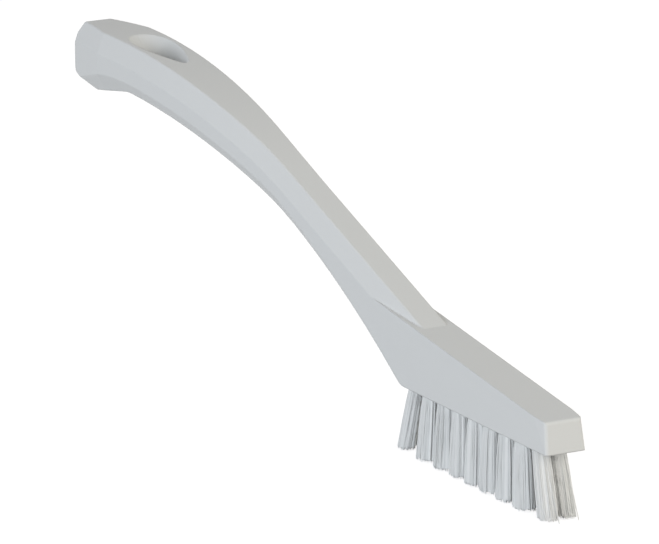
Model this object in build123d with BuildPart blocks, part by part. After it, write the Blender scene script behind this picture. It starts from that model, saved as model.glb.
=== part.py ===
from build123d import *
import math
import os

# A one-hand crevice brush: a slim moulded handle that runs into a narrow block, and two rows of
# folded filament tufts, each held in its blind hole by a flat wire anchor.
# X runs forward to the toe, Y across the brush, Z up. The origin is the centre of the overall
# box, on the plane of the bristle tips. "Behind" is a distance measured back from the toe, and
# "before the end" one measured forward from the handle's end. All lengths are millimetres.

# Overall
overall_length = 205.0
bristle_length = 14.2

# Block, the narrow front that holds the tufts
block_width = 8.9
toe_height = 6.35
toe_rake = 1.1
block_top_slope = 7.7
heel_behind = 57.6
heel_round = 4.0
toe_facet_length = 5.4
toe_facet_inset = 0.35
toe_edge_round = 0.7

# Handle seen from the side
crown_start_behind = 51.0
grip_slope = 19.8
arch_start_behind = 110.0
underside_radius = 242.0
hook_before_end = 29.5
handle_thickness_at_hook = 10.45
hook_slope = 10.1
hook_round = 14.0
end_bevel_low_length = 11.3
end_bevel_low_height = 2.1
end_bevel_top = 3.0
end_round = 1.4

# Handle seen from above
crown_width = 5.7
tip_crown_width = 11.2
flare_start_behind = 103.0
flare_turn_behind = 124.0
tip_corner_before_end = 17.0
tip_end_crown_width = 6.3

# Flanks that lean in above the handle's side crease, and bevels along its lower edges
flank_depth = 4.25
arch_flank_depth = 4.6
bevel_inset = 1.25
bevel_height = 2.4
bevel_start_behind = 61.0
bevel_full_behind = 110.0
hook_bevel_radius = 100.0
tip_bevel_slope = 14.2
bevel_reach = 6.0
crown_edge_round = 0.4

# Hanging hole, a teardrop with a dished rim above and below. Its widths are half way along it,
# and it is wider towards the handle's end by a share
hole_before_end = 33.8
hole_rim_length = 25.0
hole_rim_width = 8.2
hole_length = 15.0
hole_width = 5.8
teardrop_share = 0.42
dish_depth = 4.2

# Tufts
row_tuft_count = 9
row_spacing = 3.6
toe_tuft_behind = 6.9
heel_tuft_before_heel = 2.3
tuft_hole_diameter = 2.8
tuft_hole_depth = 4.6
tuft_clearance = 0.05
strand_size = 0.38
strand_overlap = 0.4
strand_inset = 0.04
ring_counts = (4, 8, 12)
tip_scatter = 1.3
spread_along_share = 1.5
spread_across_share = 1.4
golden_share = 0.618
row_lean = 2.0
toe_lean = 13.5
heel_lean = 16.5
lean_fade_share = 0.27

# Flat wire anchors
anchor_thickness = 0.3
anchor_length = 3.7
anchor_height = 1.8
fold_thickness = 0.9
anchor_clearance = 0.03

# How far a cutting or trimming shape runs past what it cuts
overrun = 1.0

# Shared levels and places worked out from the sizes above
toe_x = overall_length / 2
flank_inset = (block_width - crown_width) / 2
tip_corner_behind = overall_length - tip_corner_before_end
hook_behind = overall_length - hook_before_end
hole_behind = overall_length - hole_before_end
block_bottom = bristle_length
block_rise = math.tan(math.radians(block_top_slope))
grip_rise = math.tan(math.radians(grip_slope))
crown_start_z = block_bottom + toe_height + block_rise * (crown_start_behind - toe_rake)
arch_start_z = crown_start_z + grip_rise * (arch_start_behind - crown_start_behind)
arch_radius = (tip_corner_behind - arch_start_behind) / math.sin(math.radians(grip_slope))
crown_level = arch_start_z + arch_radius * (1 - math.cos(math.radians(grip_slope)))
crown_end_behind = overall_length - end_bevel_top
end_run = (crown_end_behind - tip_corner_behind) / arch_radius
crown_end_z = crown_level - arch_radius * (1 - math.sqrt(1 - end_run**2))
ledge_end_behind = crown_start_behind + flank_depth / (grip_rise - block_rise)
flare_rate = (tip_crown_width - crown_width) / (tip_corner_behind - flare_start_behind)
tip_rate = (tip_crown_width - tip_end_crown_width) / 2 / (crown_end_behind - tip_corner_behind)
tuft_pitch = (heel_behind - heel_tuft_before_heel - toe_tuft_behind) / (row_tuft_count - 1)


def crown_z(behind):
    """Height of the handle's top: a straight rise, then an arc, highest at the tip corners."""
    if behind <= arch_start_behind:
        return crown_start_z + grip_rise * (behind - crown_start_behind)
    run = (tip_corner_behind - behind) / arch_radius
    return crown_level - arch_radius * (1 - math.sqrt(1 - run**2))


def crown_half(behind):
    """Half width of the handle's top: parallel, flaring through two arcs, then drawn in."""
    if behind <= flare_start_behind:
        return crown_width / 2
    if behind <= flare_turn_behind:
        bend = flare_rate / 2 / (flare_turn_behind - flare_start_behind)
        return crown_width / 2 + bend * (behind - flare_start_behind) ** 2
    if behind <= tip_corner_behind:
        bend = flare_rate / 2 / (tip_corner_behind - flare_turn_behind)
        return tip_crown_width / 2 - bend * (tip_corner_behind - behind) ** 2
    return tip_crown_width / 2 - tip_rate * (behind - tip_corner_behind)


def side_half(behind):
    """Half width at the side crease and below it."""
    return crown_half(behind) + flank_inset


def flank_drop(behind):
    """Height of the leaning flank, a little more on the arch than on the straight grip."""
    share = (behind - arch_start_behind) / (tip_corner_behind - arch_start_behind)
    return flank_depth + (arch_flank_depth - flank_depth) * min(max(share, 0), 1)


# The arc under the handle runs from the block's heel to the start of the hook
hook_z = crown_z(hook_behind) - handle_thickness_at_hook
arc_run = hook_behind - heel_behind
arc_rise = hook_z - block_bottom
arc_chord = math.hypot(arc_run, arc_rise)
arc_depth_share = math.sqrt((underside_radius / arc_chord) ** 2 - (1 / 2) ** 2)
underside_centre_behind = (heel_behind + hook_behind) / 2 + arc_depth_share * arc_rise
underside_centre_z = (block_bottom + hook_z) / 2 - arc_depth_share * arc_run


def underside_z(behind):
    """Height of the arc under the handle."""
    run = underside_centre_behind - behind
    return underside_centre_z + math.sqrt(underside_radius**2 - run**2)


hook_rise = math.tan(math.radians(hook_slope))
hook_heel_behind = overall_length - end_bevel_low_length
hook_heel_z = hook_z - hook_rise * (hook_heel_behind - hook_behind)
hook_end_z = hook_heel_z + end_bevel_low_height
anchor_top_depth = tuft_hole_depth - fold_thickness
bundle_radius = tuft_hole_diameter / 2 - tuft_clearance
outer_ring_radius = bundle_radius - strand_size / 2 - strand_inset

# Where the lower bevels change course, and the number of steps that each stretch is drawn in
bevel_stops = (heel_behind, bevel_full_behind, tip_corner_behind, overall_length + overrun)
bevel_step_counts = (6, 8, 1)

# The hanging hole's axis is square to the handle's top, and its middle lies half way down
hole_run = (tip_corner_behind - hole_behind) / arch_radius
hole_slope = hole_run / math.sqrt(1 - hole_run**2)
hole_middle_z = (crown_z(hole_behind) + underside_z(hole_behind)) / 2
hole_reach = (crown_z(hole_behind) - underside_z(hole_behind)) / 2 + overrun
hole_plane = Plane(
    origin=(toe_x - hole_behind, 0, hole_middle_z),
    x_dir=(1, 0, -hole_slope),
    z_dir=(hole_slope, 0, 1),
)


def bevel_z(behind):
    """Height where the lower bevel starts on the side. It fades out towards the heel."""
    fade = (behind - bevel_start_behind) / (bevel_full_behind - bevel_start_behind)
    level = underside_z(min(behind, hook_behind)) + bevel_height * min(fade, 1)
    hook_run = max(min(behind, tip_corner_behind) - hook_behind, 0)
    tip_run = max(behind - tip_corner_behind, 0)
    tip_fall = math.tan(math.radians(tip_bevel_slope))
    return level - hook_run**2 / (2 * hook_bevel_radius) - tip_fall * tip_run


def wall_section(behind):
    """Outline across the handle: upright sides, then flanks that lean in past the top."""
    lean = flank_inset / flank_drop(behind)
    side = side_half(behind)
    crease = crown_z(behind) - flank_drop(behind)
    top = crown_z(behind) + overrun
    crown = crown_half(behind) - lean * overrun
    floor = block_bottom - overrun
    right = [(side, floor), (side, crease), (crown, top)]
    left = [(-y, z) for y, z in reversed(right)]
    return right + left


def bevel_section(behind):
    """Triangle that cuts the lower edge on the +Y side at one place along the handle."""
    lean = bevel_inset / bevel_height
    side = side_half(behind)
    start = bevel_z(behind)
    floor = start - bevel_reach
    outside = side + lean * overrun
    return [(outside, start + overrun), (side - lean * bevel_reach, floor), (outside, floor)]


def hole_section(height):
    """Teardrop outline of the hanging hole at a height above its middle, pointed forward."""
    into_dish = abs(height) - (hole_reach - overrun - dish_depth)
    flare = max(into_dish / dish_depth, 0) ** 2
    half_length = (hole_length + (hole_rim_length - hole_length) * flare) / 2
    half_width = (hole_width + (hole_rim_width - hole_width) * flare) / 2
    outline = []
    for angle in steps(0, 2 * math.pi, 16)[:-1]:
        back = math.cos(angle)
        across = half_width * math.sin(angle) * (1 + teardrop_share * back)
        outline.append((-half_length * back, across))
    return outline


def steps(start, end, count):
    return [start + (end - start) * i / count for i in range(count + 1)]


def tuft_places():
    """Name, place along the block, side and lean of each tuft, from the heel forward."""
    places = []
    for side, word in ((1, "left"), (-1, "right")):
        for i in range(row_tuft_count):
            from_toe = row_tuft_count - 1 - i
            lean = toe_lean * lean_fade_share**from_toe - heel_lean * lean_fade_share**i
            x = toe_x - toe_tuft_behind - tuft_pitch * from_toe
            places.append((f"tuft_{word}_{i + 1}", x, side, lean))
    return places


def tuft_plane(x, side, lean):
    """Plane on a hole's mouth: its Z points down the bristles, its X along the block."""
    forward = math.tan(math.radians(lean))
    outward = math.tan(math.radians(row_lean)) * side
    mouth = (x, side * row_spacing / 2, block_bottom)
    return Plane(origin=mouth, x_dir=(1, 0, forward), z_dir=(forward, outward, -1))


def strand_lines(x, side, lean):
    """Root and tip of each strand of a tuft: rings that fan out evenly, with uneven tips."""
    centre_y = side * row_spacing / 2
    tip_x = x + bristle_length * math.tan(math.radians(lean))
    tip_y = centre_y + side * bristle_length * math.tan(math.radians(row_lean))
    lines = []
    for ring, count in enumerate(ring_counts):
        radius = outer_ring_radius * (ring + 1) / len(ring_counts)
        for i in range(count):
            angle = 2 * math.pi * (i + ring / 2) / count
            along, across = radius * math.cos(angle), radius * math.sin(angle)
            mouth = Vector(x + along, centre_y + across, block_bottom)
            end_x = tip_x + along * spread_along_share
            end_y = tip_y + across * spread_across_share
            down = Vector(end_x, end_y, 0) - mouth
            short = tip_scatter * (len(lines) * golden_share % 1) ** 2
            root = mouth - down * (strand_overlap / bristle_length)
            lines.append((root, mouth + down * (1 - short / bristle_length)))
    return lines


def facet_plane(side):
    """Plane that shaves a toe corner, from nothing at the bottom to a little at the top."""
    bottom = Vector(toe_x, side * block_width / 2, block_bottom)
    rise = toe_height + block_rise * (toe_facet_length - toe_rake)
    back = Vector(toe_x - toe_facet_length, side * block_width / 2, block_bottom + rise)
    front_y = side * (block_width / 2 - toe_facet_inset)
    front = Vector(toe_x - toe_rake, front_y, block_bottom + toe_height)
    outward = (back - bottom).cross(front - bottom)
    return Plane(origin=bottom, x_dir=back - bottom, z_dir=outward * side)


def on_crown_edge(edge, side):
    """Whether an edge runs along the handle, between its top and the flank on one side."""
    middle = edge @ (1 / 2)
    behind = toe_x - middle.X
    if not crown_start_behind < behind < crown_end_behind or middle.Y * side < crown_width / 4:
        return False
    return abs(middle.Z - crown_z(behind)) < crown_edge_round / 4


def corner(sketch, behind, z):
    """The corner of a side view that lies nearest to a place on the brush."""
    return sketch.vertices().sort_by_distance((toe_x - behind, z))[0]


# Handle and block, one moulding
with BuildPart() as brush_body:
    # The block, up to where its flat top runs out beside the handle
    ledge_end_z = crown_z(ledge_end_behind) - flank_depth
    toe_z = block_bottom + toe_height - block_rise * (toe_rake + overrun)
    with BuildSketch(Plane.XZ):
        with BuildLine():
            Polyline(
                (toe_x + overrun, block_bottom - overrun),
                (toe_x + overrun, toe_z),
                (toe_x - ledge_end_behind, ledge_end_z),
                (toe_x - ledge_end_behind, block_bottom - overrun),
                close=True,
            )
        make_face()
    extrude(amount=block_width / 2, both=True)
    for side in (1, -1):
        split(bisect_by=facet_plane(side), keep=Keep.BOTTOM)

    # Straight grip, which starts inside the block
    for behind in (crown_start_behind - block_width, flare_start_behind):
        with BuildSketch(Plane.YZ.offset(toe_x - behind)):
            with BuildLine():
                Polyline(*wall_section(behind), close=True)
            make_face()
    loft(ruled=True)

    # Arched grip, flaring towards the tip
    for behind in steps(flare_start_behind, tip_corner_behind, 10):
        with BuildSketch(Plane.YZ.offset(toe_x - behind)):
            with BuildLine():
                Polyline(*wall_section(behind), close=True)
            make_face()
    loft()

    # Tip, drawn in to the end
    for behind in (tip_corner_behind, overall_length + overrun):
        with BuildSketch(Plane.YZ.offset(toe_x - behind)):
            with BuildLine():
                Polyline(*wall_section(behind), close=True)
            make_face()
    loft(ruled=True)

    # Side view, which trims the toe, the top, the underside, the hook and the end
    with BuildSketch(Plane.XZ) as side_view:
        with BuildLine():
            Polyline(
                (toe_x - heel_behind, block_bottom),
                (toe_x, block_bottom),
                (toe_x - toe_rake, block_bottom + toe_height),
                (toe_x - crown_start_behind, crown_start_z),
                (toe_x - arch_start_behind, arch_start_z),
            )
            TangentArc(
                (toe_x - arch_start_behind, arch_start_z),
                (toe_x - crown_end_behind, crown_end_z),
                tangent=(-1, grip_rise),
            )
            Polyline(
                (toe_x - crown_end_behind, crown_end_z),
                (toe_x - overall_length, crown_end_z - end_bevel_top),
                (toe_x - overall_length, hook_end_z),
                (toe_x - hook_heel_behind, hook_heel_z),
                (toe_x - hook_behind, hook_z),
            )
            middle = (heel_behind + hook_behind) / 2
            ThreePointArc(
                (toe_x - hook_behind, hook_z),
                (toe_x - middle, underside_z(middle)),
                (toe_x - heel_behind, block_bottom),
            )
        make_face()
        fillet(corner(side_view, heel_behind, block_bottom), radius=heel_round)
        fillet(corner(side_view, hook_behind, hook_z), radius=hook_round)
        fillet(corner(side_view, hook_heel_behind, hook_heel_z), radius=end_round)
        fillet(corner(side_view, overall_length, hook_end_z), radius=end_round)
        fillet(corner(side_view, overall_length, crown_end_z - end_bevel_top), radius=end_round)
        fillet(corner(side_view, crown_end_behind, crown_end_z), radius=end_round)
    extrude(amount=tip_crown_width, both=True, mode=Mode.INTERSECT)

    # Bevels along the lower edges, which fade in behind the heel
    for start, end, count in zip(bevel_stops, bevel_stops[1:], bevel_step_counts):
        for behind in steps(start, end, count):
            with BuildSketch(Plane.YZ.offset(toe_x - behind)):
                with BuildLine():
                    Polyline(*bevel_section(behind), close=True)
                make_face()
        wedge = loft(mode=Mode.PRIVATE)
        add(wedge, mode=Mode.SUBTRACT)
        add(mirror(wedge, about=Plane.XZ, mode=Mode.PRIVATE), mode=Mode.SUBTRACT)

    # Rounded edges round the toe's front and along both edges of the crown
    toe_edges = brush_body.faces().sort_by(Axis.X)[-1].edges().sort_by(Axis.Z)
    fillet(toe_edges[1:], radius=toe_edge_round)
    for side in (1, -1):
        crown_edges = [edge for edge in brush_body.edges() if on_crown_edge(edge, side)]
        fillet(crown_edges, radius=crown_edge_round)

    # Hanging hole, dished alike above and below
    for height in steps(-hole_reach, hole_reach, 12):
        with BuildSketch(hole_plane.offset(height)):
            with BuildLine():
                Spline(*hole_section(height), periodic=True)
            make_face()
    loft(mode=Mode.SUBTRACT)

    # Blind holes for the tufts, with the slits that their anchors are driven into
    mouths = [tuft_plane(x, side, lean) for name, x, side, lean in tuft_places()]
    with BuildSketch(*[mouth.offset(overrun) for mouth in mouths]):
        Circle(tuft_hole_diameter / 2)
    extrude(amount=-overrun - tuft_hole_depth, mode=Mode.SUBTRACT)
    with BuildSketch(*[mouth.offset(overrun) for mouth in mouths]):
        Rectangle(anchor_length + 2 * anchor_clearance, anchor_thickness + 2 * anchor_clearance)
    extrude(amount=-overrun - anchor_top_depth - anchor_clearance, mode=Mode.SUBTRACT)
brush_body.part.label = "brush_body"

# Tufts, each a bundle that is folded round its anchor and fans out below the block
tufts = []
for name, x, side, lean in tuft_places():
    mouth = tuft_plane(x, side, lean)
    with BuildPart() as tuft:
        with BuildSketch(mouth.offset(tuft_clearance - tuft_hole_depth)):
            Circle(bundle_radius)
        extrude(amount=tuft_hole_depth - tuft_clearance)
        with BuildSketch(mouth.offset(-anchor_top_depth - anchor_clearance)):
            Rectangle(anchor_length, anchor_thickness + 2 * anchor_clearance)
        extrude(amount=anchor_height + 2 * anchor_clearance, mode=Mode.SUBTRACT)
        strands = []
        for root, tip in strand_lines(x, side, lean):
            with BuildSketch(Plane.XY.offset(root.Z), mode=Mode.PRIVATE) as cross_section:
                with Locations((root.X, root.Y)):
                    RegularPolygon(radius=strand_size / 2, side_count=4)
            along = tip - root
            strand = extrude(cross_section.sketch, along.length, dir=along, mode=Mode.PRIVATE)
            strands.append(strand)
        add(strands)
    tuft.part.label = name
    tufts.append(tuft.part)

# Anchors, flat wire that holds each tuft in its hole and bites into the block at both ends
with BuildPart() as tuft_staples:
    with BuildSketch(*[mouth.offset(-anchor_top_depth) for mouth in mouths]):
        Rectangle(anchor_length, anchor_thickness)
    extrude(amount=anchor_height)
tuft_staples.part.label = "tuft_staples"

os.makedirs("parts", exist_ok=True)
for piece in [brush_body.part, tuft_staples.part, *tufts]:
    export_step(piece, f"parts/{piece.label}.step")
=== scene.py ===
import bpy
import math
import numpy as np
from mathutils import Matrix, Vector


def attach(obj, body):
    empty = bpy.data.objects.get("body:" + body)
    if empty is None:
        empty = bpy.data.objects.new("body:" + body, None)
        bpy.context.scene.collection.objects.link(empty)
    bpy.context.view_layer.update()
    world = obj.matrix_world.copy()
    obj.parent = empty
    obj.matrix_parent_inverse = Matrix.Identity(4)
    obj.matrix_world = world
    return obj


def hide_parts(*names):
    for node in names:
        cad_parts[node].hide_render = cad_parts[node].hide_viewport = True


# A moulded crevice brush: handle and block are one piece of polypropylene, and two rows of
# polyester tufts are folded round flat steel anchors and driven into blind holes in the block.
# Everything is in metres, in the frame of the CAD model: X to the toe, Z up from the tips.
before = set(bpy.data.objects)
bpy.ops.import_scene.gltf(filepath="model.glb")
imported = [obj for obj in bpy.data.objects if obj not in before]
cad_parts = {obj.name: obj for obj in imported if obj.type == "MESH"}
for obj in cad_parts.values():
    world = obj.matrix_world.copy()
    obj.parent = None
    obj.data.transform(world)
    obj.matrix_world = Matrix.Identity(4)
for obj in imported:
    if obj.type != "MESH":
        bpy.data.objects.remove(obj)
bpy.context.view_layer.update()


# Handle and block. The real piece is one injection moulding in white polypropylene, with a
# fine spark-eroded satin skin and edges that are broken by a small radius.

def linear(hex_colour):
    """Linear colour of an sRGB hex value. A channel up to 0.04045 is divided by 12.92. A higher
    one gets 0.055 more, is divided by 1.055 and raised to the power 2.4."""
    channels = [int(hex_colour[i:i + 2], 16) / 255 for i in (1, 3, 5)]
    undone = [c / 12.92 if c <= 0.04045 else ((c + 0.055) / 1.055) ** 2.4 for c in channels]
    return (*undone, 1.0)


def add_node(tree, kind, settings=None, links=None):
    """Adds a node, sets its inputs or properties by name, and links its inputs."""
    node = tree.nodes.new(kind)
    for name, value in (settings or {}).items():
        if name in node.inputs:
            node.inputs[name].default_value = value
        else:
            setattr(node, name, value)
    for name, source in (links or {}).items():
        tree.links.new(source, node.inputs[name])
    return node


def new_material(name):
    """An empty node material with its tree and its output, ready for a surface."""
    material = bpy.data.materials.new(name)
    material.use_nodes = True
    material.node_tree.nodes.clear()
    output = material.node_tree.nodes.new("ShaderNodeOutputMaterial")
    return material, material.node_tree, output


# White polypropylene, injection moulded: slightly cool white, a soft sheen with no mirror
# image, and a very fine even grain from the spark-eroded mould. Edges look rounded where
# the CAD mesh leaves them sharp.
POLYPROPYLENE_COLOUR = linear("#CED0CF")
POLYPROPYLENE_ROUGHNESS = 0.5
POLYPROPYLENE_IOR = 1.49
POLYPROPYLENE_SHEEN_LEVEL = 0.2
MOULD_GRAIN = 0.00035
MOULD_GRAIN_DETAIL = 2.0
MOULD_GRAIN_DEPTH = 0.00005
MOULD_GRAIN_STRENGTH = 0.04
EDGE_ROUND = 0.0004
EDGE_SAMPLES = 8

polypropylene, tree, output = new_material("polypropylene_moulded_satin")
coordinates = add_node(tree, "ShaderNodeTexCoord")
grain = add_node(tree, "ShaderNodeTexNoise",
                 {"Scale": 1 / MOULD_GRAIN, "Detail": MOULD_GRAIN_DETAIL},
                 {"Vector": coordinates.outputs["Object"]})
rounded = add_node(tree, "ShaderNodeBevel", {"samples": EDGE_SAMPLES, "Radius": EDGE_ROUND})
relief = add_node(tree, "ShaderNodeBump",
                  {"Strength": MOULD_GRAIN_STRENGTH, "Distance": MOULD_GRAIN_DEPTH},
                  {"Height": grain.outputs["Fac"], "Normal": rounded.outputs["Normal"]})
skin = add_node(tree, "ShaderNodeBsdfPrincipled",
                {"Base Color": POLYPROPYLENE_COLOUR, "Roughness": POLYPROPYLENE_ROUGHNESS,
                 "IOR": POLYPROPYLENE_IOR, "Specular IOR Level": POLYPROPYLENE_SHEEN_LEVEL},
                {"Normal": relief.outputs["Normal"]})
tree.links.new(skin.outputs["BSDF"], output.inputs["Surface"])

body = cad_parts["brush_body"]
body.data.materials.clear()
body.data.materials.append(polypropylene)


# Tufts. Each real tuft is a bundle of polyester filaments, folded in half round its anchor,
# trimmed to length after tufting, and fanned out a little below the block. Here the packed
# middle of a bundle is one fluted core, and single filaments stand all over it.

# The rows: where their tufts stand, and how far each tuft's tips lean out from its hole.
BLOCK_BOTTOM = 0.0142
TUFTS_PER_ROW = 9
TUFT_PITCH = 0.00605
TOE_TUFT_X = 0.0956
ROW_OFFSET = 0.0018
ROW_SPLAY = 0.0002
TOE_LEAN = 0.0034
HEEL_LEAN = 0.0042
LEAN_FADE = 0.27

# A bundle: its radius at the hole, and how many times as wide it is at the tips, along and
# across the block.
BUNDLE_RADIUS = 0.00137
SPREAD = (2.2, 1.8)
HEEL_SPREAD = (1.4, 1.3)
TOE_SPREAD = (1.8, 1.4)
FAN_POWER = 0.33
ROOT_IN_HOLE = 0.0006
TIP_LEVEL = 0.0003
RING_POWER = 2

# Its single filaments, and the few that stray to a place of their own.
FILAMENTS_PER_TUFT = 240
OUTER_FILAMENTS = 110
FILAMENT_RADIUS = 0.0001
FILAMENT_SIDES = 5
FILAMENT_RINGS = 5
FILAMENT_BEND = 0.00007
SPREAD_UNEVENNESS = 0.03
TIP_UNEVENNESS = 0.0006
GOLDEN_ANGLE = math.pi * (3 - math.sqrt(5))
STRAY_TIPS = {"left_9": (0.1022, 0.0031, 0.0001), "right_9": (0.1020, -0.0012, 0.0),
              "right_7": (0.0850, -0.0026, 0.0)}
STRAY_POWER = 1.3
STRAY_OUTWARD_SHARE = 0.25

# Its packed core, which ends in a low dome.
CORE_COLUMNS = 64
CORE_RINGS = 9
CORE_SHARE = 0.96
CORE_FLUTE = 0.00006
CORE_SHORTFALL = 0.0006
DOME_STEP_SHARES = (0.02, 0.03)
DOME_WIDTH_SHARES = (0.75, 0.3)

# Its shading: how light scatters in it, and how pale its filaments are.
SCATTER_SHARE = 2.5
SCATTER_REACH = 0.9
TOE_FACING = 2.0
TINT_RANGE = 0.5
# Painted light: the two toe tufts are painted paler than the rest, standing in for the front
# light that brightens them.
TOE_PAINTED_LIGHT = 0.3
FIRST_SEED = 100
SEED_STEP = 10

# White polyester, drawn into filaments: a neutral white between the two tints below, and a
# soft gloss. The packed middle of a bundle lets no light through, a single filament some.
DARK_TINT = linear("#D2D5D4")
PALE_TINT = linear("#F4F5F4")
POLYESTER_ROUGHNESS = 0.45
POLYESTER_IOR = 1.57
PACKED_PASSING = 0.0
SINGLE_PASSING = 0.1


def polyester(name, passing):
    """Drawn white polyester. Each filament has its own pale tint, painted paler on the toe tufts
    as painted light, and a share of the light passes through it."""
    material, tree, output = new_material(name)
    tint = add_node(tree, "ShaderNodeAttribute", {"attribute_name": "filament_tint_and_painted_light"})
    shades = add_node(tree, "ShaderNodeValToRGB", {}, {"Fac": tint.outputs["Fac"]})
    shades.color_ramp.elements[0].color = DARK_TINT
    shades.color_ramp.elements[1].color = PALE_TINT
    fibre = add_node(tree, "ShaderNodeBsdfPrincipled",
                     {"Roughness": POLYESTER_ROUGHNESS, "IOR": POLYESTER_IOR},
                     {"Base Color": shades.outputs["Color"]})
    through = add_node(tree, "ShaderNodeBsdfTranslucent", {}, {"Color": shades.outputs["Color"]})
    milky = add_node(tree, "ShaderNodeMixShader", {"Fac": passing})
    tree.links.new(fibre.outputs["BSDF"], milky.inputs[1])
    tree.links.new(through.outputs["BSDF"], milky.inputs[2])
    tree.links.new(milky.outputs["Shader"], output.inputs["Surface"])
    return material


packed_polyester = polyester("polyester_filament_packed", PACKED_PASSING)
single_polyester = polyester("polyester_filament_drawn", SINGLE_PASSING)


def bundle_axis(centre, lean, outward, share):
    """Middle of a tuft at shares of its length: a straight line from the hole to the tips."""
    top = BLOCK_BOTTOM + ROOT_IN_HOLE
    x = centre[0] + lean * share
    y = centre[1] + outward * share
    return np.stack([x, y, top + (TIP_LEVEL - top) * share], axis=-1)


def bundle_spread(tips, share):
    """How many times as wide a tuft is, along and across the block, at shares of its length:
    one, plus what the tips have more than one, times the share to a power below one. So a tuft
    fans out most just below its hole."""
    return 1 + (np.array(tips) - 1) * share[..., None] ** FAN_POWER


def scattered_normals(turn, count, outside):
    """Shading normals of round columns. Light that scatters in packed filaments evens out
    their roundness, so the part that faces the outside of the row is turned toward it."""
    normals = np.tile(np.stack([np.cos(turn), np.sin(turn), 0 * turn], axis=-1), (count, 1))
    facing = np.clip(normals @ outside + SCATTER_REACH, 0, 1)
    normals += SCATTER_SHARE * facing[:, None] * outside
    return normals / np.linalg.norm(normals, axis=1, keepdims=True)


def core_surface(centre, lean, outward, tips, outside, random):
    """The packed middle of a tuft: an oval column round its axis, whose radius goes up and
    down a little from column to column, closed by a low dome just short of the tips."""
    length = BLOCK_BOTTOM + ROOT_IN_HOLE - TIP_LEVEL
    last = 1 - CORE_SHORTFALL / length
    share = np.append(last * np.linspace(0, 1, CORE_RINGS) ** RING_POWER,
                      [last + step for step in DOME_STEP_SHARES])
    width = np.append(np.full(CORE_RINGS, 1.0), DOME_WIDTH_SHARES)
    turn = 2 * math.pi * np.arange(CORE_COLUMNS) / CORE_COLUMNS
    flute = CORE_FLUTE * random.uniform(-1, 1, CORE_COLUMNS)
    radius = (BUNDLE_RADIUS * CORE_SHARE + flute)[None, :] * width[:, None]
    across = bundle_spread(tips, share)[:, None, :] * radius[..., None]
    axis = bundle_axis(centre, lean, outward, share)
    points = np.repeat(axis[:, None, :], CORE_COLUMNS, axis=1)
    points[..., :2] += np.stack([np.cos(turn), np.sin(turn)], axis=-1)[None] * across
    row = np.arange(len(share) - 1)[:, None] * CORE_COLUMNS
    column = np.arange(CORE_COLUMNS)[None, :]
    after = (column + 1) % CORE_COLUMNS
    quads = np.stack([row + column, row + CORE_COLUMNS + column,
                      row + CORE_COLUMNS + after, row + after], axis=-1).reshape(-1, 4)
    caps = [list(range(CORE_COLUMNS)),
            list(range((len(share) - 1) * CORE_COLUMNS, len(share) * CORE_COLUMNS))[::-1]]
    tints = np.tile(random.uniform(0, 1, CORE_COLUMNS), len(share))
    normals = scattered_normals(turn, len(share), outside)
    return points.reshape(-1, 3), quads.tolist() + caps, tints, normals


def filament_surfaces(centre, lean, outward, tips, outside, stray, random):
    """Filaments as thin tubes. Their roots lie on a sunflower spiral in the bundle, and each
    runs, with a slight bend, to a tip that is its root moved out from the axis. A stray one is
    the root that lies furthest forward, or a little less far but further out."""
    count = FILAMENTS_PER_TUFT
    index = np.arange(count)
    inner = count - OUTER_FILAMENTS
    full = BUNDLE_RADIUS - FILAMENT_RADIUS / 2
    reach = np.where(index < inner, full * np.sqrt(np.minimum((index + 0.5) / inner, 1)),
                     full - random.uniform(0, FILAMENT_RADIUS, count))
    angle = index * GOLDEN_ANGLE + random.uniform(0, 2 * math.pi)
    root = np.stack([reach * np.cos(angle), reach * np.sin(angle)], axis=-1)
    share = np.linspace(0, 1, FILAMENT_RINGS) ** RING_POWER
    axis = np.repeat(bundle_axis(centre, lean, outward, share)[None], count, axis=0)
    uneven = random.uniform(1 - SPREAD_UNEVENNESS, 1 + SPREAD_UNEVENNESS, (count, 1, 1))
    spread = bundle_spread(tips, share)[None] * uneven ** share[:, None]
    bend = random.normal(0, FILAMENT_BEND, (count, 1, 2)) * np.sin(math.pi * share)[None, :, None]
    axis[..., :2] += root[:, None, :] * spread + bend
    lift = np.abs(random.normal(0, TIP_UNEVENNESS, count))
    axis[..., 2] += lift[:, None] * share[None, :]
    if stray is not None:
        wild = np.argmax(root @ np.array([1.0, STRAY_OUTWARD_SHARE * np.sign(centre[1])]))
        axis[wild] += share[:, None] ** STRAY_POWER * (np.array(stray) - axis[wild, -1])
    turn = 2 * math.pi * np.arange(FILAMENT_SIDES) / FILAMENT_SIDES
    ring = FILAMENT_RADIUS * np.stack([np.cos(turn), np.sin(turn), 0 * turn], axis=-1)
    points = (axis[:, :, None, :] + ring[None, None]).reshape(-1, 3)
    per_filament = FILAMENT_RINGS * FILAMENT_SIDES
    first = (index * per_filament)[:, None, None]
    step = (np.arange(FILAMENT_RINGS - 1) * FILAMENT_SIDES)[None, :, None]
    side = np.arange(FILAMENT_SIDES)[None, None, :]
    a, b = first + step + side, first + step + (side + 1) % FILAMENT_SIDES
    quads = np.stack([a, a + FILAMENT_SIDES, b + FILAMENT_SIDES, b], axis=-1).reshape(-1, 4)
    ends = first[:, 0] + per_filament - 1 - np.arange(FILAMENT_SIDES)[None]
    tints = np.repeat(random.uniform(0, 1, count), per_filament)
    normals = scattered_normals(turn, count * FILAMENT_RINGS, outside)
    return points, quads.tolist() + ends.tolist(), tints, normals


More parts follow.
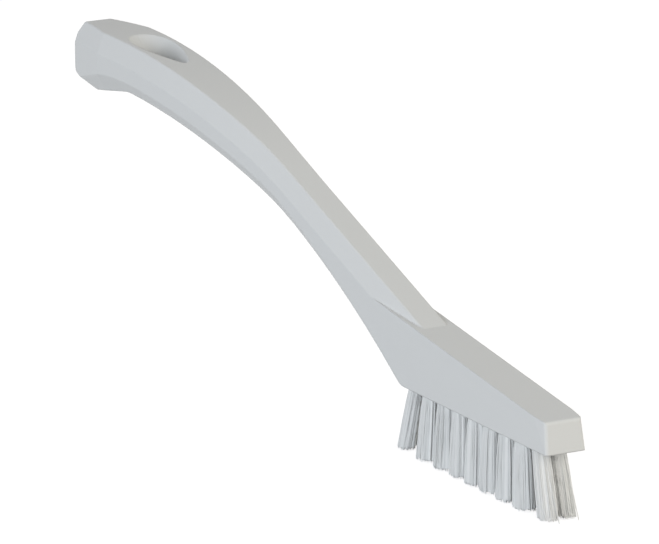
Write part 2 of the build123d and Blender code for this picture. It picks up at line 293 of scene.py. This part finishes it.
for side, word in ((1, "left"), (-1, "right")):
    for i in range(TUFTS_PER_ROW):
        name = f"{word}_{i + 1}"
        random = np.random.default_rng(FIRST_SEED + SEED_STEP * i + side)
        from_toe = TUFTS_PER_ROW - 1 - i
        lean = TOE_LEAN * LEAN_FADE**from_toe - HEEL_LEAN * LEAN_FADE**i
        centre = (TOE_TUFT_X - TUFT_PITCH * from_toe, side * ROW_OFFSET)
        tips = {0: HEEL_SPREAD, TUFTS_PER_ROW - 1: TOE_SPREAD}.get(i, SPREAD)
        outside = Vector((0 if from_toe else TOE_FACING, side, 0)).normalized()
        stance = (centre, lean, side * ROW_SPLAY, tips, np.array(outside))
        core, core_faces, core_tints, core_normals = core_surface(*stance, random)
        fine, fine_faces, fine_tints, fine_normals = filament_surfaces(
            *stance, STRAY_TIPS.get(name), random)
        mesh = bpy.data.meshes.new(f"filaments_{name}")
        shifted = [[corner + len(core) for corner in face] for face in fine_faces]
        mesh.from_pydata(np.concatenate([core, fine]).tolist(), [], core_faces + shifted)
        mesh.shade_smooth()
        mesh.normals_split_custom_set_from_vertices(np.concatenate([core_normals, fine_normals]))
        tints = mesh.attributes.new("filament_tint_and_painted_light", "FLOAT", "POINT")
        shade = TINT_RANGE * np.concatenate([core_tints, fine_tints])
        # Painted light: the toe tufts' tint is raised, so they are painted paler.
        tints.data.foreach_set("value", shade + (0 if from_toe else TOE_PAINTED_LIGHT))
        mesh.materials.append(packed_polyester)
        mesh.materials.append(single_polyester)
        single = [0] * len(core_faces) + [1] * len(fine_faces)
        mesh.polygons.foreach_set("material_index", single)
        tuft = bpy.data.objects.new(mesh.name, mesh)
        bpy.context.collection.objects.link(tuft)
        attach(tuft, "root")
        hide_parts(f"tuft_{name}")


# Anchors. Each is a short piece of drawn stainless flat wire that is driven into its hole
# across the fold of its tuft, and bites into the polypropylene at both ends.

# Stainless flat wire, bright drawn: a soft shine, and fine lines along the wire from the die.
STAINLESS_COLOUR = linear("#B9B9B6")
DRAWN_ROUGHNESS = (0.28, 0.42)
DRAWN_LINE_WIDTH = 0.00006
DRAWN_LINE_LENGTH = 0.002
DRAWN_LINE_DETAIL = 2.0
DRAWN_LINE_DEPTH = 0.00001
DRAWN_LINE_STRENGTH = 0.1

stainless, tree, output = new_material("stainless_steel_flat_wire")
coordinates = add_node(tree, "ShaderNodeTexCoord")
along_wire = add_node(tree, "ShaderNodeMapping", {
    "Scale": (1 / DRAWN_LINE_LENGTH, 1 / DRAWN_LINE_WIDTH, 1 / DRAWN_LINE_WIDTH)},
    {"Vector": coordinates.outputs["Object"]})
lines = add_node(tree, "ShaderNodeTexNoise", {"Scale": 1.0, "Detail": DRAWN_LINE_DETAIL},
                 {"Vector": along_wire.outputs["Vector"]})
scratches = add_node(tree, "ShaderNodeBump",
                     {"Strength": DRAWN_LINE_STRENGTH, "Distance": DRAWN_LINE_DEPTH},
                     {"Height": lines.outputs["Fac"]})
dulled = add_node(tree, "ShaderNodeMapRange",
                  {"To Min": DRAWN_ROUGHNESS[0], "To Max": DRAWN_ROUGHNESS[1]},
                  {"Value": lines.outputs["Fac"]})
wire = add_node(tree, "ShaderNodeBsdfPrincipled",
                {"Base Color": STAINLESS_COLOUR, "Metallic": 1.0},
                {"Roughness": dulled.outputs["Result"], "Normal": scratches.outputs["Normal"]})
tree.links.new(wire.outputs["BSDF"], output.inputs["Surface"])

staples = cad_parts["tuft_staples"]
staples.data.materials.clear()
staples.data.materials.append(stainless)


# Studio. A plain pale floor and a white room that show white to the camera, as the photograph
# does, and three large soft lamps: beside the brush, in front of it and on its far side.
FLOOR_SIZE = 6.0
FLOOR_COLOUR = linear("#B0B0B0")
FLOOR_GLOW = 0.8
WHITE = (1, 1, 1, 1)
ROOM_COLOUR = (1.0, 0.965, 0.97, 1)
ROOM_STRENGTH = 0.255
LAMP_SIZE = 1.0
LAMP_TARGET = (0, 0, 0.03)

floor_mesh = bpy.data.meshes.new("floor")
half = FLOOR_SIZE / 2
floor_mesh.from_pydata([(-half, -half, 0), (half, -half, 0), (half, half, 0), (-half, half, 0)],
                       [], [(0, 1, 2, 3)])
floor = bpy.data.objects.new("floor", floor_mesh)
bpy.context.collection.objects.link(floor)


def background_rays(tree):
    """One for rays that show the background: straight to the camera, mirrored or passed on."""
    path = add_node(tree, "ShaderNodeLightPath")
    total = path.outputs["Is Camera Ray"]
    for kind in ("Is Glossy Ray", "Is Transmission Ray"):
        joined = add_node(tree, "ShaderNodeMath", {"operation": "MAXIMUM"})
        tree.links.new(total, joined.inputs[0])
        tree.links.new(path.outputs[kind], joined.inputs[1])
        total = joined.outputs["Value"]
    return total


pale, tree, output = new_material("pale_paper_floor")
paper = add_node(tree, "ShaderNodeBsdfDiffuse", {"Color": FLOOR_COLOUR})
glow = add_node(tree, "ShaderNodeEmission", {"Color": WHITE, "Strength": FLOOR_GLOW})
both = tree.nodes.new("ShaderNodeAddShader")
tree.links.new(paper.outputs["BSDF"], both.inputs[0])
tree.links.new(glow.outputs["Emission"], both.inputs[1])
seen = tree.nodes.new("ShaderNodeMixShader")
tree.links.new(background_rays(tree), seen.inputs[0])
tree.links.new(paper.outputs["BSDF"], seen.inputs[1])
tree.links.new(both.outputs["Shader"], seen.inputs[2])
tree.links.new(seen.outputs["Shader"], output.inputs["Surface"])
floor_mesh.materials.append(pale)

world = bpy.data.worlds.new("studio")
bpy.context.scene.world = world
world.use_nodes = True
tree = world.node_tree
tree.nodes.clear()
room = add_node(tree, "ShaderNodeBackground", {"Color": ROOM_COLOUR, "Strength": ROOM_STRENGTH})
white = add_node(tree, "ShaderNodeBackground", {"Color": WHITE, "Strength": 1.0})
seen = tree.nodes.new("ShaderNodeMixShader")
output = tree.nodes.new("ShaderNodeOutputWorld")
tree.links.new(background_rays(tree), seen.inputs[0])
tree.links.new(room.outputs["Background"], seen.inputs[1])
tree.links.new(white.outputs["Background"], seen.inputs[2])
tree.links.new(seen.outputs["Shader"], output.inputs["Surface"])


def soft_lamp(name, place, power, colour):
    """A square softbox that faces the brush."""
    light = bpy.data.lights.new(name, "AREA")
    light.shape = "SQUARE"
    light.size = LAMP_SIZE
    light.energy = power
    light.color = colour
    lamp = bpy.data.objects.new(name, light)
    lamp.location = place
    aim = Vector(LAMP_TARGET) - Vector(place)
    lamp.rotation_euler = aim.to_track_quat("-Z", "Y").to_euler()
    bpy.context.collection.objects.link(lamp)


soft_lamp("side_softbox", (0.25, -1.4, 0.42), 17.5, (0.89, 0.935, 1.0))
soft_lamp("front_softbox", (1.5, 0.2, 0.6), 12.0, (1.0, 0.943, 0.866))
soft_lamp("far_softbox", (0.8, 1.3, 0.6), 8.4, (1.0, 1.0, 0.905))


# Camera, at the photograph's viewing angle: a long lens at 1.2 m, rolled by a third of a degree.
IMAGE_WIDTH = 659
FOCAL_PIXELS = 5798.97
SENSOR_WIDTH = 36.0
CLIP_NEAR = 0.1
CLIP_FAR = 20.0
CAMERA_PLACE = (1.024476, -0.551968, 0.333733)
CAMERA_RIGHT = (0.47816, 0.87825, -0.00561)
CAMERA_BACK = (0.84993, -0.46111, 0.25493)

camera_data = bpy.data.cameras.new("camera")
camera_data.sensor_width = SENSOR_WIDTH
camera_data.lens = SENSOR_WIDTH * FOCAL_PIXELS / IMAGE_WIDTH
camera_data.clip_start = CLIP_NEAR
camera_data.clip_end = CLIP_FAR
camera = bpy.data.objects.new("camera", camera_data)
right = Vector(CAMERA_RIGHT).normalized()
back = Vector(CAMERA_BACK).normalized()
up = back.cross(right).normalized()
turned = Matrix((right, up, back)).transposed().to_4x4()
camera.matrix_world = Matrix.Translation(CAMERA_PLACE) @ turned
bpy.context.collection.objects.link(camera)
bpy.context.scene.camera = camera
bpy.context.scene.view_settings.view_transform = "Standard"
